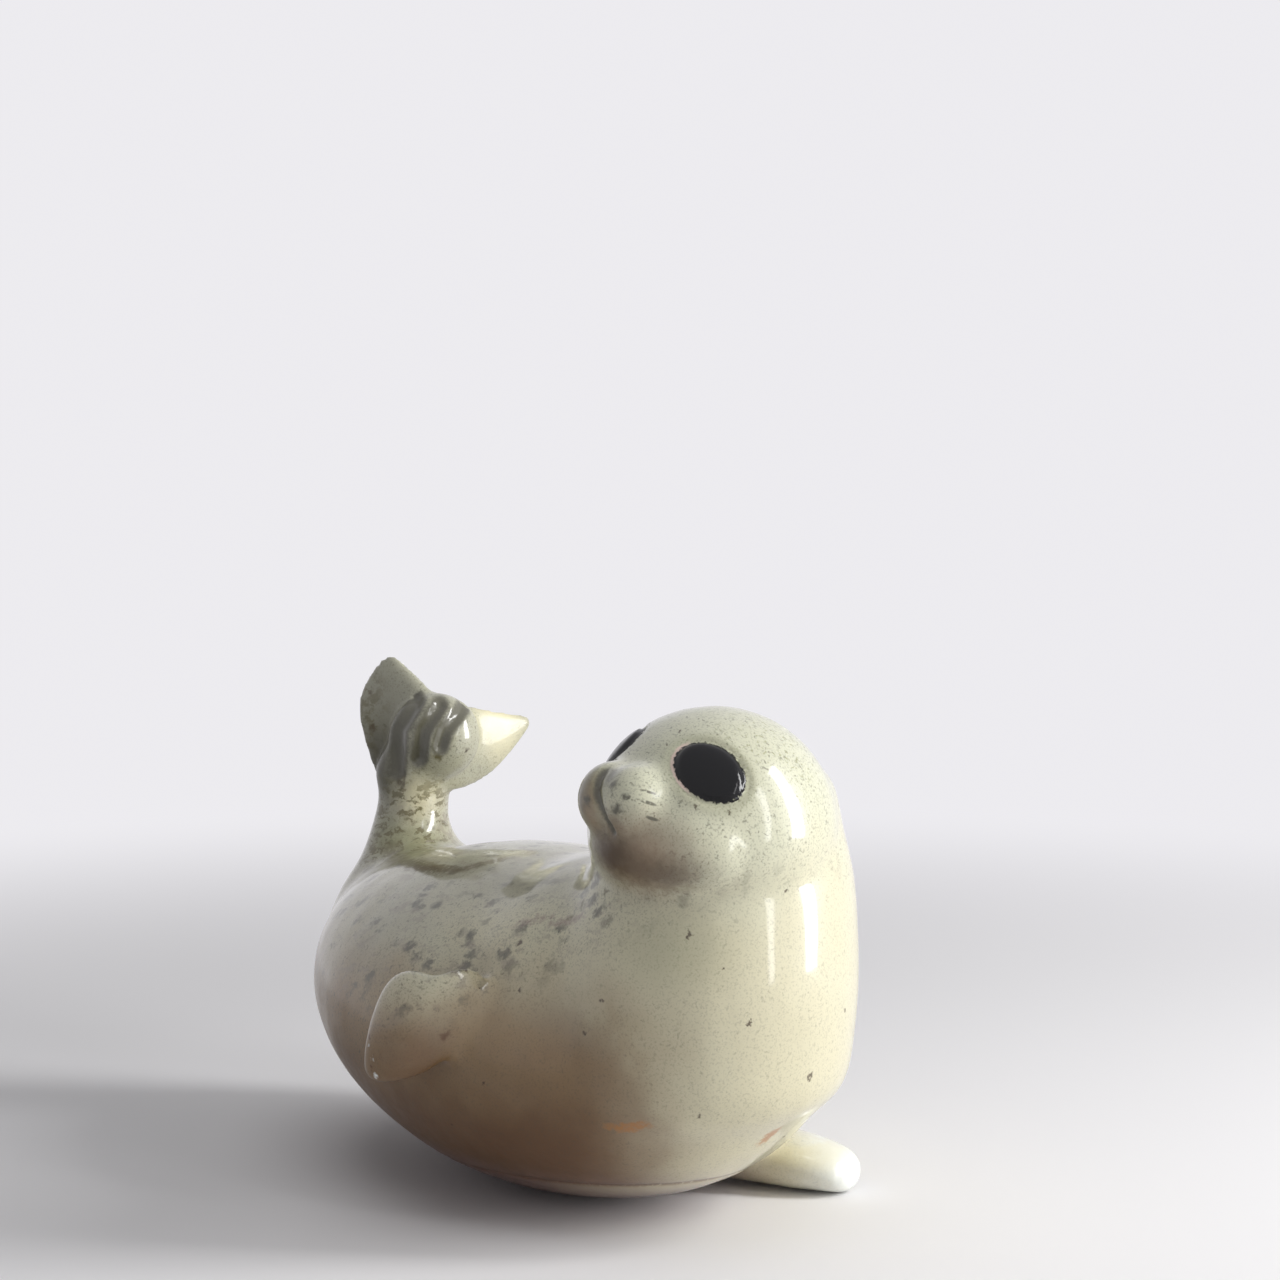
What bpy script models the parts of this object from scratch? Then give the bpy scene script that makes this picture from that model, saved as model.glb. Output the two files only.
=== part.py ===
"""Seal figurine in slip-cast, glazed stoneware.

A plump seal pup lies on its belly along X, its chest at +X. Its head is turned to its right (-Y), its
tail stands up at the rump, its right flipper lies back along the flank and its left one is spread on
the ground. The piece is one hollow casting with a flat foot and a vent in the foot.
The origin is at the foot, +Z is up. Sizes are in metres.
"""

import math

import bmesh
import bpy
import numpy as np
from mathutils import Euler, Matrix, Vector

MM = 0.001

# The length of the whole seal. Every size of its form is read in 187ths of it.
SEAL_LENGTH = 187 * MM
UNIT = SEAL_LENGTH / 187

# Trunk: a fat spindle of oval sections (x, y, z, half width along Y, half height), from rump to chest.
TRUNK = (
    (-100.6 * UNIT, 0.0, 56.5 * UNIT, 1 * UNIT, 1 * UNIT),
    (-98.7 * UNIT, 0.0, 56.2 * UNIT, 11.5 * UNIT, 9 * UNIT),
    (-92.6 * UNIT, 0.0, 55.2 * UNIT, 24 * UNIT, 18.4 * UNIT),
    (-81.5 * UNIT, 0.0, 53 * UNIT, 37.6 * UNIT, 28.4 * UNIT),
    (-65 * UNIT, 0.0, 50.6 * UNIT, 48.6 * UNIT, 36.4 * UNIT),
    (-41.5 * UNIT, 0.0, 47.9 * UNIT, 57.1 * UNIT, 42.7 * UNIT),
    (-14 * UNIT, 0.0, 45.6 * UNIT, 60 * UNIT, 46.35 * UNIT),
    (13.5 * UNIT, 0.0, 44.3 * UNIT, 57.1 * UNIT, 44.4 * UNIT),
    (37 * UNIT, 0.0, 42.7 * UNIT, 49.1 * UNIT, 38 * UNIT),
    (54.2 * UNIT, 0.0, 41.9 * UNIT, 38.6 * UNIT, 29.6 * UNIT),
    (66.7 * UNIT, 0.0, 41.2 * UNIT, 25.4 * UNIT, 19.5 * UNIT),
    (73.1 * UNIT, 0.0, 40.9 * UNIT, 12.5 * UNIT, 9.6 * UNIT),
    (75 * UNIT, 0.0, 40.8 * UNIT, 1 * UNIT, 1 * UNIT),
)
# Shoulders: an egg that fills the dip between the back and the neck.
SHOULDER_CENTRE = Vector((18 * UNIT, 0.0, 60 * UNIT))
SHOULDER_LENGTH = 88 * UNIT
SHOULDER_WIDTH = 98 * UNIT
SHOULDER_HEIGHT = 70 * UNIT

# Chest and neck: an upright column of oval sections (x, y, z, half size along X, half size along Y).
NECK = (
    (36 * UNIT, 0.0, 20 * UNIT, 17 * UNIT, 24 * UNIT),
    (43.5 * UNIT, 0.0, 34 * UNIT, 36.5 * UNIT, 39.5 * UNIT),
    (45.5 * UNIT, 0.0, 50 * UNIT, 39 * UNIT, 42.5 * UNIT),
    (47 * UNIT, 0.0, 66 * UNIT, 39.3 * UNIT, 42.3 * UNIT),
    (49.5 * UNIT, 1.5 * UNIT, 82 * UNIT, 35.3 * UNIT, 39.3 * UNIT),
    (51.3 * UNIT, 2.8 * UNIT, 94 * UNIT, 31.6 * UNIT, 36.4 * UNIT),
    (52.3 * UNIT, 2.8 * UNIT, 106 * UNIT, 28 * UNIT, 32.2 * UNIT),
    (53.4 * UNIT, 2.8 * UNIT, 116 * UNIT, 25.6 * UNIT, 30.4 * UNIT),
    (53.4 * UNIT, 2.2 * UNIT, 122 * UNIT, 21 * UNIT, 25.4 * UNIT),
)

# Head: places on it are read from its centre as (forward, to its left, up) once it is turned.
HEAD_CENTRE = Vector((53 * UNIT, -2.4 * UNIT, 105 * UNIT))
HEAD_TURN = 90.0
HEAD_LENGTH = 66.6 * UNIT
HEAD_WIDTH = 63 * UNIT
HEAD_HEIGHT = 63 * UNIT
JAW_PLACE = (13.6 * UNIT, 3 * UNIT, -1.5 * UNIT)
JAW_LENGTH = 44.6 * UNIT
JAW_WIDTH = 51 * UNIT
JAW_HEIGHT = 34 * UNIT
MUZZLE_FORWARD = 29 * UNIT
MUZZLE_UP = 9.4 * UNIT
MUZZLE_SPREAD = 4.7 * UNIT
MUZZLE_LENGTH = 20 * UNIT
MUZZLE_WIDTH = 18 * UNIT
MUZZLE_HEIGHT = 20 * UNIT
BRIDGE_PLACE = (24.5 * UNIT, 0.5 * UNIT, 11.6 * UNIT)
BRIDGE_LENGTH = 26 * UNIT
BRIDGE_WIDTH = 17 * UNIT
BRIDGE_HEIGHT = 14.5 * UNIT
# The eyes aren't level: the right one sits a little higher and nearer the middle.
LEFT_EYE_PLACE = (17 * UNIT, 17.8 * UNIT, 17.3 * UNIT)
RIGHT_EYE_PLACE = (16.5 * UNIT, -15.8 * UNIT, 19.3 * UNIT)
EYE_TILT = -42.0
EYE_LENGTH = 20.6 * UNIT
EYE_HEIGHT = 15.4 * UNIT
EYE_DEPTH = 5 * UNIT
EYE_RIM = 1.6 * UNIT
EYE_RIM_DEPTH = 0.8 * UNIT
# Cleft down the middle of the muzzle, in places (to its left, up) from the head's centre.
CLEFT = ((-2.6 * UNIT, 17 * UNIT), (-1 * UNIT, 11.5 * UNIT), (1.6 * UNIT, 7 * UNIT), (3.2 * UNIT, 3 * UNIT))
CLEFT_WIDTH = 3.6 * UNIT
CLEFT_DEPTH = 1.2 * UNIT

# Tail stem: it rises from the end of the rump (x, y, z, half size along X, half size along Y).
TAIL_STEM = (
    (-70 * UNIT, 0.0, 48 * UNIT, 28 * UNIT, 36 * UNIT),
    (-73 * UNIT, 0.0, 60 * UNIT, 29 * UNIT, 35 * UNIT),
    (-79.3 * UNIT, 0.0, 71 * UNIT, 22.8 * UNIT, 26.8 * UNIT),
    (-84.2 * UNIT, 0.0, 81 * UNIT, 14.8 * UNIT, 17 * UNIT),
    (-86.5 * UNIT, 0.5 * UNIT, 90 * UNIT, 10.8 * UNIT, 12.4 * UNIT),
    (-86.3 * UNIT, 1.5 * UNIT, 99 * UNIT, 10 * UNIT, 11.2 * UNIT),
    (-85.5 * UNIT, 2 * UNIT, 108 * UNIT, 11 * UNIT, 13 * UNIT),
    (-81 * UNIT, 3 * UNIT, 120 * UNIT, 8 * UNIT, 10 * UNIT),
)
# Tail end: places on it are read from its centre as (out of its grooved face, to its left, up).
TAIL_CENTRE = Vector((-78.5 * UNIT, 3.5 * UNIT, 117 * UNIT))
TAIL_TURN = 32.0
KNUCKLE_DEPTH = 19 * UNIT
KNUCKLE_WIDTH = 28 * UNIT
KNUCKLE_HEIGHT = 27 * UNIT
TOES = 3
TOE_PITCH = 6.8 * UNIT
TOE_GROOVE_WIDTH = 6.2 * UNIT
TOE_GROOVE_DEPTH = 1.4 * UNIT
TOE_GROOVE_LEAN = 5.5 * UNIT
TOE_GROOVE_RUN = 6.5 * UNIT
TOE_GROOVE_FAN = 0.5 * UNIT
FLUKE_SWEEP = 28.0
FLUKE_ROOT_THICKNESS = 8 * UNIT
FLUKE_TIP_THICKNESS = 3.4 * UNIT
# Each fluke's outline (distance out from the stem, lower edge, upper edge).
LEFT_FLUKE = (
    (0.0, -17 * UNIT, 8.5 * UNIT),
    (7 * UNIT, -17 * UNIT, 9.3 * UNIT),
    (14 * UNIT, -15.5 * UNIT, 8.2 * UNIT),
    (21 * UNIT, -12 * UNIT, 6.6 * UNIT),
    (28 * UNIT, -6 * UNIT, 5.3 * UNIT),
    (32.5 * UNIT, -1 * UNIT, 4.4 * UNIT),
    (34 * UNIT, 1.5 * UNIT, 3.6 * UNIT),
)
RIGHT_FLUKE = (
    (0.0, -18 * UNIT, 11 * UNIT),
    (5 * UNIT, -18 * UNIT, 15.5 * UNIT),
    (10 * UNIT, -18 * UNIT, 20.6 * UNIT),
    (14 * UNIT, -17 * UNIT, 24.3 * UNIT),
    (18.5 * UNIT, -14 * UNIT, 21.7 * UNIT),
    (22.2 * UNIT, -5 * UNIT, 16.5 * UNIT),
    (24.3 * UNIT, 3 * UNIT, 12 * UNIT),
)

# Valley in the back, in front of the tail's root (full sizes of the dip along X, Y and Z).
VALLEY_CENTRE = (-58 * UNIT, 12 * UNIT, 89 * UNIT)
VALLEY_SIZES = (44 * UNIT, 52 * UNIT, 34 * UNIT)
VALLEY_DEPTH = 4.4 * UNIT

# Flippers (x, y, z, half the width of the blade, half its thickness), from root to tip.
RIGHT_FLIPPER = (
    (18 * UNIT, -46 * UNIT, 59 * UNIT, 7 * UNIT, 4 * UNIT),
    (17.5 * UNIT, -52 * UNIT, 59 * UNIT, 11.5 * UNIT, 6 * UNIT),
    (17 * UNIT, -57 * UNIT, 58.6 * UNIT, 13.6 * UNIT, 7 * UNIT),
    (15.5 * UNIT, -61.5 * UNIT, 56.9 * UNIT, 14.4 * UNIT, 7 * UNIT),
    (12.2 * UNIT, -65 * UNIT, 54.9 * UNIT, 14.4 * UNIT, 6.8 * UNIT),
    (8 * UNIT, -67.3 * UNIT, 53 * UNIT, 13.8 * UNIT, 6.3 * UNIT),
    (3.6 * UNIT, -68.8 * UNIT, 51.3 * UNIT, 12.2 * UNIT, 5.6 * UNIT),
    (-0.3 * UNIT, -69.8 * UNIT, 49.6 * UNIT, 9 * UNIT, 4.6 * UNIT),
    (-2.6 * UNIT, -70.1 * UNIT, 48.6 * UNIT, 4.5 * UNIT, 2.6 * UNIT),
)
LEFT_FLIPPER = (
    (16 * UNIT, 26 * UNIT, 10 * UNIT, 12 * UNIT, 8 * UNIT),
    (29 * UNIT, 34.5 * UNIT, 8.5 * UNIT, 13 * UNIT, 8 * UNIT),
    (41 * UNIT, 40.5 * UNIT, 7.5 * UNIT, 12.5 * UNIT, 7.5 * UNIT),
    (49 * UNIT, 44.5 * UNIT, 6.5 * UNIT, 11 * UNIT, 6.5 * UNIT),
    (54 * UNIT, 46.8 * UNIT, 5.5 * UNIT, 8 * UNIT, 5.5 * UNIT),
    (56 * UNIT, 48 * UNIT, 5 * UNIT, 4 * UNIT, 3 * UNIT),
)

# Casting: the wall, the flat foot and the vent through it.
WALL = 5.5 * MM
VENT_DIAMETER = 9 * MM
VENT_PLACE = (-9 * MM, 0.0)
VENT_SIDES = 24

# Clay: how finely the forms are joined and how far each joint is sponged smooth.
TRUNK_VOXEL = 2.2 * MM
TRUNK_SPONGING = 40
HEAD_VOXEL = 1.4 * MM
HEAD_SPONGING = 13
SKIN_VOXEL = 1.0 * MM
SKIN_SPONGING = 3
CAVITY_VOXEL = 3.5 * MM
CAVITY_SPONGING = 6
CAVITY_TRIANGLES = 1500
SKIN_TRIANGLES = 9400


def splined(rows, per_span):
    """Rows of numbers read from a smooth curve through the given rows."""
    table = np.array(rows, float)
    padded = np.vstack([2 * table[0] - table[1], table, 2 * table[-1] - table[-2]])
    spans = len(table) - 1
    found = []
    for step in range(spans * per_span + 1):
        span = min(step // per_span, spans - 1)
        t = step / per_span - span
        a, b, c, d = padded[span : span + 4]
        cubic = (3 * b - a - 3 * c + d) * t**3
        square = (2 * a - 5 * b + 4 * c - d) * t**2
        found.append(0.5 * (2 * b + (c - a) * t + square + cubic))
    return np.array(found)


def head_frame():
    return Matrix.Translation(HEAD_CENTRE) @ Matrix.Rotation(-math.radians(HEAD_TURN), 4, "Z")


def tail_frame():
    return Matrix.Translation(TAIL_CENTRE) @ Matrix.Rotation(-math.radians(TAIL_TURN), 4, "Z")


def add_ball(form, frame, place, sizes, turn=(0.0, 0.0, 0.0)):
    """Adds an ellipsoid of the given full sizes, turned by angles in degrees, at a place in a frame."""
    angles = Euler([math.radians(angle) for angle in turn])
    matrix = frame @ Matrix.LocRotScale(Vector(place), angles, Vector(sizes) / 2)
    bmesh.ops.create_uvsphere(form, u_segments=40, v_segments=24, radius=1, matrix=matrix)


def add_limb(form, frame, side, face, rows, per_span=6, segments=28):
    """Adds a closed loft of ovals. Each row is a centre and its half sizes along side and face."""
    side = Vector(side).normalized()
    face = Vector(face).normalized()
    along = side.cross(face)
    face = along.cross(side).normalized()
    turned = Matrix((side, face, along)).transposed().to_4x4()
    rings = []
    for x, y, z, half_side, half_face in splined(rows, per_span):
        stretch = Matrix.Diagonal((max(half_side, 0.3 * MM), max(half_face, 0.3 * MM), 1, 1))
        matrix = frame @ Matrix.Translation((x, y, z)) @ turned @ stretch
        made = bmesh.ops.create_circle(form, segments=segments, radius=1, matrix=matrix)
        rings.append({edge for vert in made["verts"] for edge in vert.link_edges})
    for lower, upper in zip(rings, rings[1:]):
        bmesh.ops.bridge_loops(form, edges=list(lower | upper))
    for ring in (rings[0], rings[-1]):
        bmesh.ops.contextual_create(form, geom=list(ring))


def mesh_of(build, *values):
    """A mesh made by a function that fills a bmesh."""
    form = bmesh.new()
    build(form, *values)
    bmesh.ops.recalc_face_normals(form, faces=form.faces)
    mesh = bpy.data.meshes.new(build.__name__)
    form.to_mesh(mesh)
    form.free()
    return mesh


def helper_object(name, mesh):
    """An object for a mesh that is only worked on."""
    helper = bpy.data.objects.new(name, mesh)
    bpy.context.scene.collection.objects.link(helper)
    return helper


def applied(helper):
    """A new mesh with the object's modifiers applied. The object is removed."""
    graph = bpy.context.evaluated_depsgraph_get()
    mesh = bpy.data.meshes.new_from_object(helper.evaluated_get(graph))
    bpy.data.objects.remove(helper)
    return mesh


def fused(name, forms, voxel, sponging):
    """One closed skin round all forms, with its joints smoothed as a sponge smooths wet clay."""
    clay = bmesh.new()
    for form in forms:
        clay.from_mesh(form)
    mesh = bpy.data.meshes.new(name)
    clay.to_mesh(mesh)
    clay.free()
    helper = helper_object(name, mesh)
    skin = helper.modifiers.new("Skin", "REMESH")
    skin.mode = "VOXEL"
    skin.voxel_size = voxel
    sponge = helper.modifiers.new("Sponge", "SMOOTH")
    sponge.factor = 0.5
    sponge.iterations = sponging
    return applied(helper)


def trunk(form, inset=0.0):
    """The trunk. An inset one is shorter at both ends too."""
    rump, chest = TRUNK[0][0], TRUNK[-1][0]
    share = 1 - 2 * inset / (chest - rump)
    rows = []
    for x, y, z, half_width, half_height in TRUNK:
        if half_height > inset:
            along = rump + inset + (x - rump) * share
            rows.append((along, y, z, half_width - inset, half_height - inset))
    add_limb(form, Matrix.Identity(4), (0, 1, 0), (0, 0, 1), rows)


def neck(form, inset=0.0):
    rows = [(x, y, z, a - inset, b - inset) for x, y, z, a, b in NECK]
    add_limb(form, Matrix.Identity(4), (1, 0, 0), (0, 1, 0), rows)


def head(form, inset=0.0):
    sizes = [size - 2 * inset for size in (HEAD_LENGTH, HEAD_WIDTH, HEAD_HEIGHT)]
    add_ball(form, head_frame(), (0, 0, 0), sizes)


def shoulders(form, inset=0.0):
    sizes = [size - 2 * inset for size in (SHOULDER_LENGTH, SHOULDER_WIDTH, SHOULDER_HEIGHT)]
    add_ball(form, Matrix.Identity(4), SHOULDER_CENTRE, sizes)


def jaw(form):
    add_ball(form, head_frame(), JAW_PLACE, (JAW_LENGTH, JAW_WIDTH, JAW_HEIGHT))


def muzzle(form):
    add_ball(form, head_frame(), BRIDGE_PLACE, (BRIDGE_LENGTH, BRIDGE_WIDTH, BRIDGE_HEIGHT))
    for side in (-1, 1):
        place = (MUZZLE_FORWARD, side * MUZZLE_SPREAD, MUZZLE_UP)
        add_ball(form, head_frame(), place, (MUZZLE_LENGTH, MUZZLE_WIDTH, MUZZLE_HEIGHT))


def eye_frame(side):
    """A frame on the centre of one eye: its long axis, its short axis and the way out of the head."""
    place = Vector(LEFT_EYE_PLACE if side > 0 else RIGHT_EYE_PLACE)
    outward = Vector((place.x / HEAD_LENGTH**2, place.y / HEAD_WIDTH**2, place.z / HEAD_HEIGHT**2))
    turned = outward.to_track_quat("Z", "Y").to_matrix().to_4x4()
    tilt = Matrix.Rotation(math.radians(side * EYE_TILT), 4, "Z")
    return head_frame() @ Matrix.Translation(place) @ turned @ tilt


def eyes(form):
    for side in (-1, 1):
        add_ball(form, eye_frame(side), (0, 0, 0), (EYE_LENGTH, EYE_HEIGHT, EYE_DEPTH))


def tail_stem(form, inset=0.0, rows=len(TAIL_STEM)):
    narrowed = [(x, y, z, a - inset, b - inset) for x, y, z, a, b in TAIL_STEM[:rows]]
    add_limb(form, Matrix.Identity(4), (1, 0, 0), (0, 1, 0), narrowed)


def knuckle(form):
    add_ball(form, tail_frame(), (0, 0, 0), (KNUCKLE_DEPTH, KNUCKLE_WIDTH, KNUCKLE_HEIGHT))


def fluke(form, outline, side):
    """A blade that sweeps back from the stem to one side."""
    sweep = math.radians(FLUKE_SWEEP)
    out = Vector((-math.sin(sweep), side * math.cos(sweep), 0))
    rows = []
    for distance, lower, upper in outline:
        middle = out * distance + Vector((0, 0, (lower + upper) / 2))
        share = distance / outline[-1][0]
        thickness = FLUKE_ROOT_THICKNESS + (FLUKE_TIP_THICKNESS - FLUKE_ROOT_THICKNESS) * share
        rows.append((*middle, (upper - lower) / 2, thickness / 2))
    normal = out.cross(Vector((0, 0, 1)))
    add_limb(form, tail_frame(), (0, 0, 1), normal, rows)


def right_flipper(form):
    add_limb(form, Matrix.Identity(4), (0.2, 0.15, 1), (0.1, -1, 0.15), RIGHT_FLIPPER)


def left_flipper(form):
    add_limb(form, Matrix.Identity(4), (0.4, -0.9, 0), (0, 0, 1), LEFT_FLIPPER)


def toe_groove(number):
    """The line of one groove on the knuckle, in places (to its left, up) from the tail's centre."""
    start = (number - 0.8) * TOE_PITCH
    fan = number - (TOES - 1) / 2
    top = KNUCKLE_HEIGHT * (0.42 - 0.05 * number)
    foot = KNUCKLE_HEIGHT * (0.14 * number - 0.36)
    bend = (start - TOE_GROOVE_LEAN, 0.1 * KNUCKLE_HEIGHT)
    return ((start, top), bend, (start - TOE_GROOVE_RUN - fan * TOE_GROOVE_FAN, foot))


def distance_to_line(points, line):
    """The distance of each point to a line with corners."""
    nearest = np.full(len(points), np.inf)
    for start, end in zip(np.array(line)[:-1], np.array(line)[1:]):
        span = end - start
        share = np.clip((points - start) @ span / (span @ span), 0, 1)
        nearest = np.minimum(nearest, np.linalg.norm(points - start - share[:, None] * span, axis=1))
    return nearest


def coordinates(mesh, field):
    values = np.empty(len(mesh.vertices) * 3, np.float32)
    mesh.vertices.foreach_get(field, values)
    return values.reshape(-1, 3).astype(float)


def pressed(mesh, gap, half_width, depth, where):
    """Presses each vertex in, the deepest where the gap to the stroke is nothing, and only where asked."""
    share = np.clip(1 - np.abs(gap) / half_width, 0, 1)
    hollow = share * share * (3 - 2 * share) * where
    moved = coordinates(mesh, "co") - coordinates(mesh, "normal") * (depth * hollow)[:, None]
    mesh.vertices.foreach_set("co", moved.astype(np.float32).ravel())
    mesh.update()


def seen_from(mesh, frame):
    """Vertices read in a frame, with how far each faces along the frame's first axis."""
    inverse = np.array(frame.inverted())
    places = coordinates(mesh, "co") @ inverse[:3, :3].T + inverse[:3, 3]
    facing = coordinates(mesh, "normal") @ inverse[:3, :3].T
    return places, facing[:, 0]


def press_line(mesh, frame, line, width, depth, beyond):
    """A stroke across the faces that look along the frame's first axis and lie beyond a distance on it."""
    places, facing = seen_from(mesh, frame)
    where = (facing > 0.15) & (places[:, 0] > beyond)
    pressed(mesh, distance_to_line(places[:, 1:], line), width / 2, depth, where)


def press_eye_rims(mesh):
    for side in (-1, 1):
        frame = eye_frame(side)
        inverse = np.array(frame.inverted())
        places = coordinates(mesh, "co") @ inverse[:3, :3].T + inverse[:3, 3]
        round_eye = np.hypot(places[:, 0] / EYE_LENGTH, places[:, 1] / EYE_HEIGHT) * 2
        gap = (round_eye - 1) * (EYE_LENGTH + EYE_HEIGHT) / 4
        pressed(mesh, gap, EYE_RIM, EYE_RIM_DEPTH, np.abs(places[:, 2]) < EYE_LENGTH / 2)


def press_valley(mesh):
    inside = (coordinates(mesh, "co") - np.array(VALLEY_CENTRE)) / np.array(VALLEY_SIZES) * 2
    pressed(mesh, np.linalg.norm(inside, axis=1), 1.0, VALLEY_DEPTH, 1.0)


def press_details(mesh):
    press_valley(mesh)
    press_line(mesh, head_frame(), CLEFT, CLEFT_WIDTH, CLEFT_DEPTH, MUZZLE_FORWARD)
    press_eye_rims(mesh)
    for number in range(TOES):
        press_line(mesh, tail_frame(), toe_groove(number), TOE_GROOVE_WIDTH, TOE_GROOVE_DEPTH, 0.0)


def outer_skin():
    """The outside of the seal before it is cut flat."""
    main_forms = [mesh_of(trunk), mesh_of(shoulders), mesh_of(neck), mesh_of(tail_stem)]
    body = fused("body", main_forms, TRUNK_VOXEL, TRUNK_SPONGING)
    face = [mesh_of(head), mesh_of(jaw), mesh_of(muzzle)]
    limbs = [mesh_of(right_flipper), mesh_of(left_flipper), mesh_of(tail_stem), mesh_of(knuckle)]
    pup = fused("pup", [body, *face, *limbs], HEAD_VOXEL, HEAD_SPONGING)
    fine = [mesh_of(fluke, LEFT_FLUKE, 1), mesh_of(fluke, RIGHT_FLUKE, -1), mesh_of(eyes)]
    mesh = fused("seal", [pup, *fine], SKIN_VOXEL, SKIN_SPONGING)
    press_details(mesh)
    return mesh


def thinned(mesh, triangles):
    """The mesh with its flat stretches told by fewer triangles."""
    helper = helper_object(mesh.name, mesh)
    fewer = helper.modifiers.new("Fewer", "DECIMATE")
    mesh.calc_loop_triangles()
    fewer.ratio = min(1.0, triangles / len(mesh.loop_triangles))
    return applied(helper)


def cut_flat(mesh, height):
    """Cuts the mesh off at a height and closes it there with a flat face."""
    form = bmesh.new()
    form.from_mesh(mesh)
    everything = [*form.verts, *form.edges, *form.faces]
    bmesh.ops.bisect_plane(form, geom=everything, plane_co=(0, 0, height), plane_no=(0, 0, 1), clear_inner=True)
    rim = [edge for edge in form.edges if edge.is_boundary]
    for vert in {vert for edge in rim for vert in edge.verts}:
        vert.co.z = height
    bmesh.ops.holes_fill(form, edges=rim, sides=0)
    bmesh.ops.recalc_face_normals(form, faces=form.faces)
    form.to_mesh(mesh)
    form.free()


def cavity():
    """The hollow that the slip leaves when it is poured off: the main forms, less the wall."""
    forms = [mesh_of(form, WALL) for form in (trunk, shoulders, neck, head)]
    forms.append(mesh_of(tail_stem, WALL, 4))
    mesh = fused("cavity", forms, CAVITY_VOXEL, CAVITY_SPONGING)
    press_valley(mesh)
    mesh = thinned(mesh, CAVITY_TRIANGLES)
    cut_flat(mesh, WALL)
    return mesh


def vent(form):
    depth = 4 * WALL
    place = Matrix.Translation((*VENT_PLACE, WALL))
    bmesh.ops.create_cone(
        form,
        cap_ends=True,
        segments=VENT_SIDES,
        radius1=VENT_DIAMETER / 2,
        radius2=VENT_DIAMETER / 2,
        depth=depth,
        matrix=place,
    )


def cutter(name, mesh):
    """A helper that cuts and isn't part of the piece."""
    tool = helper_object(name, mesh)
    tool.hide_render = True
    tool.display_type = "WIRE"
    return tool


def glaze(name, colour, roughness):
    material = bpy.data.materials.new(name)
    material.use_nodes = True
    shader = material.node_tree.nodes["Principled BSDF"]
    shader.inputs["Base Color"].default_value = (*colour, 1)
    shader.inputs["Roughness"].default_value = roughness
    shader.inputs["Metallic"].default_value = 0.0
    material.diffuse_color = (*colour, 1)
    return material


def paint_eyes(mesh):
    """Gives the second glaze to each face on an eye's dome."""
    for side in (-1, 1):
        inverse = eye_frame(side).inverted()
        for face in mesh.polygons:
            place = inverse @ face.center
            round_eye = math.hypot(place.x / EYE_LENGTH, place.y / EYE_HEIGHT) * 2
            if round_eye < 1 and abs(place.z) < EYE_DEPTH:
                face.material_index = 1


def seal():
    mesh = thinned(outer_skin(), SKIN_TRIANGLES)
    cut_flat(mesh, 0.0)
    mesh.materials.append(glaze("cream_glaze", (0.56, 0.55, 0.42), 0.18))
    mesh.materials.append(glaze("black_glaze", (0.012, 0.012, 0.014), 0.08))
    paint_eyes(mesh)
    mesh.shade_smooth()
    mesh.set_sharp_from_angle(angle=math.radians(50))
    piece = bpy.data.objects.new("seal", mesh)
    bpy.context.scene.collection.objects.link(piece)
    for name, shape in (("cavity", cavity()), ("vent", mesh_of(vent))):
        cut = piece.modifiers.new(name.capitalize(), "BOOLEAN")
        cut.operation = "DIFFERENCE"
        cut.object = cutter(name, shape)
    return piece


def main():
    for old in list(bpy.data.objects):
        bpy.data.objects.remove(old)
    seal()


main()
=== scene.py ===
"""The seal figurine as it is seen: one glazed stoneware skin, and the plain studio that it stands in.

The skin is made from the same clay forms as the solid part, joined more finely, with the seam, the
slight waves of its glaze and the painted marks that the solid has no room for. Its right flipper and
right fluke are a little fuller, and its grooves a little narrower.
Lengths are in metres, but those in in_mm, in rows_in_mm and in the glaze are in millimetres. The
origin is at the foot and +Z is up.
"""

from __future__ import annotations

import logging
import math
from collections.abc import Iterable, Sequence
from dataclasses import dataclass, field
from enum import Enum, IntEnum

import bmesh
import bpy
import numpy as np
from mathutils import Euler, Matrix, Vector, noise


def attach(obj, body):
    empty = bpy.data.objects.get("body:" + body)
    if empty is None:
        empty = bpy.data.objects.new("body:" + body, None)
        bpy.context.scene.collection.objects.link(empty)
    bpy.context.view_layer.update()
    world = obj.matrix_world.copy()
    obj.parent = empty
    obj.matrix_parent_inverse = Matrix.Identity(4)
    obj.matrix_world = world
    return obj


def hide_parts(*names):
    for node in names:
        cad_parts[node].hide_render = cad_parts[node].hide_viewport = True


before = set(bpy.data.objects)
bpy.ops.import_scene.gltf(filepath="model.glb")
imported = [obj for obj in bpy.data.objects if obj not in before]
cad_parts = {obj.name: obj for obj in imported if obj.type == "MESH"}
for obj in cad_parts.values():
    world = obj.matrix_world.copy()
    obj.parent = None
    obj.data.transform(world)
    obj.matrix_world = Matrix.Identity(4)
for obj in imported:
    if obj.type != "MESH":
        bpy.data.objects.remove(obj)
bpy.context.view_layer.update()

MM = 0.001
log = logging.getLogger("seal")

Numbers = Sequence[float]
Rows = Sequence[Numbers]
Form = bmesh.types.BMesh
Mesh = bpy.types.Mesh
Socket = bpy.types.NodeSocket
Settings = dict[object, object]

HERE = Matrix.Identity(4)
MM_PER_METRE = 1000.0
CHEST: Numbers = (0.03, 0.0, 0.08)
FACING = 0.15  # how squarely the skin has to face a pressed line to take it


class Side(IntEnum):
    """The animal's own sides."""

    RIGHT = -1
    LEFT = 1


def in_mm(*numbers: float) -> Numbers:
    """Gives numbers of millimetres in metres."""
    return tuple(number * MM for number in numbers)


def rows_in_mm(*rows: Numbers) -> Rows:
    """Gives rows of millimetres in metres."""
    return tuple(in_mm(*row) for row in rows)


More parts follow.
